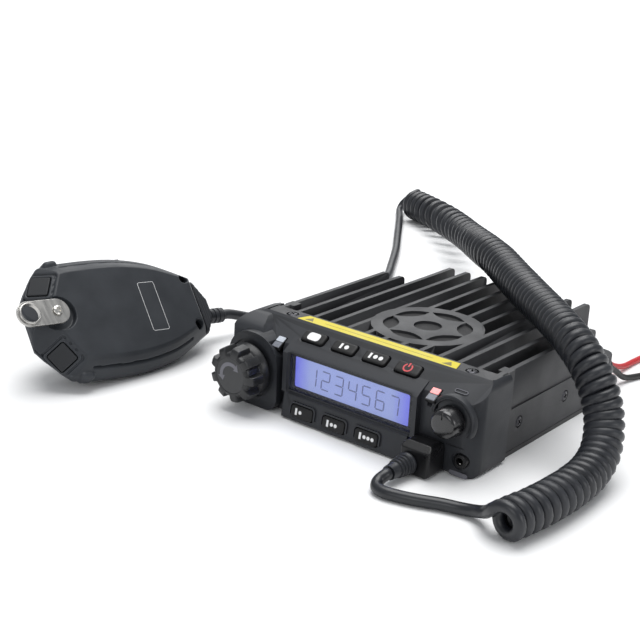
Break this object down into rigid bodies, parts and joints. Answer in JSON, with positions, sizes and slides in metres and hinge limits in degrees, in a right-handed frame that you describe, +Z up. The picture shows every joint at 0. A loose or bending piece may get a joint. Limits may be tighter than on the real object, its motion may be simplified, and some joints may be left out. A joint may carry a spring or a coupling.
{
  "type": "mobile transceiver",
  "caption": "Compact two-way radio with a finned top, display front panel, knobs and keys, a hand microphone on a coiled cord and a rear power lead.",
  "frame": {"origin": "middle of the radio's flat bottom, on the surface it stands on", "axes": "+Z up, +X to the right seen from the front, +Y to the rear"},
  "size_m": [0.381, 0.4813, 0.0673],
  "materials": {
    "cast_black": "fine textured black paint on a die-cast heat sink",
    "cover_black": "satin black paint on sheet",
    "screw_black": "black zinc plated steel",
    "nickel": "bright nickel plate",
    "bezel_plastic": "satin black moulded plastic",
    "display_lens": "clear lens over a blue-violet display",
    "display_backlight": "lit blue-violet display panel",
    "indicator": "clear light window",
    "key_rubber": "black moulded key rubber",
    "knob_plastic": "satin black moulded plastic",
    "control_metal": "plain plated steel",
    "circuit_board": "green circuit board",
    "speaker_cone": "black paper cone",
    "label_yellow": "yellow printed label film",
    "mic_plastic": "fine grained dark grey moulded plastic",
    "clip_steel": "satin stainless steel plate",
    "cord_rubber": "satin black cord sheath",
    "plug_plastic": "glossy black moulded plug",
    "wire_red": "red wire insulation"
  },
  "bodies": {
    "root": {"heat_sink": "cast_black", "bottom_cover": "cover_black", "bottom_screw_1": "screw_black", "bottom_screw_2": "screw_black", "bottom_screw_3": "screw_black", "bottom_screw_4": "screw_black", "top_screw_left": "screw_black", "top_screw_right": "screw_black", "side_screw_right_front": "screw_black", "side_screw_right_rear": "screw_black", "side_screw_left_front": "screw_black", "side_screw_left_rear": "screw_black", "front_bezel": "bezel_plastic", "display_lens": "display_lens", "display_module": "display_backlight", "indicator_left": "indicator", "indicator_right": "indicator", "main_encoder": "control_metal", "volume_control": "control_metal", "microphone_socket": "bezel_plastic", "data_jack": "control_metal", "antenna_socket": "nickel", "speaker_jack": "bezel_plastic", "power_grommet": "cord_rubber", "front_board": "circuit_board", "main_board": "circuit_board", "loudspeaker": "speaker_cone", "label_strip": "label_yellow", "mic_back_shell": "mic_plastic", "mic_front_shell": "mic_plastic", "mic_clip": "clip_steel", "mic_clip_screw": "nickel", "mic_shell_screw_1": "screw_black", "mic_shell_screw_2": "screw_black", "mic_board": "circuit_board", "mic_capsule": "control_metal", "mic_cord_gland": "cord_rubber", "cord_lead_radio": "cord_rubber", "cord_coil_table": "cord_rubber", "cord_coil_rise": "cord_rubber", "cord_coil_top": "cord_rubber", "cord_coil_rear": "cord_rubber", "cord_lead_mic": "cord_rubber", "cord_plug": "plug_plastic", "cord_plug_boot": "cord_rubber", "wire_red": "wire_red", "wire_black": "cord_rubber", "power_connector": "plug_plastic"},
    "main_knob": {"main_knob": "knob_plastic"},
    "volume_knob": {"volume_knob": "knob_plastic"},
    "key_function": {"key_function": "key_rubber"},
    "key_upper_2": {"key_upper_2": "key_rubber"},
    "key_upper_3": {"key_upper_3": "key_rubber"},
    "key_power": {"key_power": "key_rubber"},
    "key_lower_1": {"key_lower_1": "key_rubber"},
    "key_lower_2": {"key_lower_2": "key_rubber"},
    "key_lower_3": {"key_lower_3": "key_rubber"},
    "mic_talk_bar": {"mic_talk_bar": "key_rubber"},
    "mic_key_up": {"mic_key_up": "key_rubber"},
    "mic_key_down": {"mic_key_down": "key_rubber"}
  },
  "joints": [
    {"name": "main_knob_turn", "type": "hinge", "parent": "root", "child": "main_knob", "pos_m": [-0.0624, -0.091, 0.021], "axis": [0, -1, 0], "continuous": true},
    {"name": "volume_knob_turn", "type": "hinge", "parent": "root", "child": "volume_knob", "pos_m": [0.0605, -0.084, 0.0285], "axis": [0, -1, 0], "range_deg": [-150, 150]},
    {"name": "key_function_press", "type": "slide", "parent": "root", "child": "key_function", "axis": [0, 0.5183, -0.8552], "range_m": [0, 0.0008], "stiffness_N_per_m": 600},
    {"name": "key_upper_2_press", "type": "slide", "parent": "root", "child": "key_upper_2", "axis": [0, 0.5183, -0.8552], "range_m": [0, 0.0008], "stiffness_N_per_m": 600},
    {"name": "key_upper_3_press", "type": "slide", "parent": "root", "child": "key_upper_3", "axis": [0, 0.5183, -0.8552], "range_m": [0, 0.0008], "stiffness_N_per_m": 600},
    {"name": "key_power_press", "type": "slide", "parent": "root", "child": "key_power", "axis": [0, 0.5183, -0.8552], "range_m": [0, 0.0008], "stiffness_N_per_m": 600},
    {"name": "key_lower_1_press", "type": "slide", "parent": "root", "child": "key_lower_1", "axis": [0, 0.9851, -0.172], "range_m": [0, 0.0008], "stiffness_N_per_m": 600},
    {"name": "key_lower_2_press", "type": "slide", "parent": "root", "child": "key_lower_2", "axis": [0, 0.9851, -0.172], "range_m": [0, 0.0008], "stiffness_N_per_m": 600},
    {"name": "key_lower_3_press", "type": "slide", "parent": "root", "child": "key_lower_3", "axis": [0, 0.9851, -0.172], "range_m": [0, 0.0008], "stiffness_N_per_m": 600},
    {"name": "talk_press", "type": "slide", "parent": "root", "child": "mic_talk_bar", "axis": [0.6508, -0.1686, -0.7403], "range_m": [0, 0.0015], "stiffness_N_per_m": 700},
    {"name": "up_press", "type": "slide", "parent": "root", "child": "mic_key_up", "axis": [-0.2427, 0.5694, -0.7854], "range_m": [0, 0.0007], "stiffness_N_per_m": 600},
    {"name": "down_press", "type": "slide", "parent": "root", "child": "mic_key_down", "axis": [-0.6689, 0.6799, -0.3005], "range_m": [0, 0.0007], "stiffness_N_per_m": 600}
  ]
}
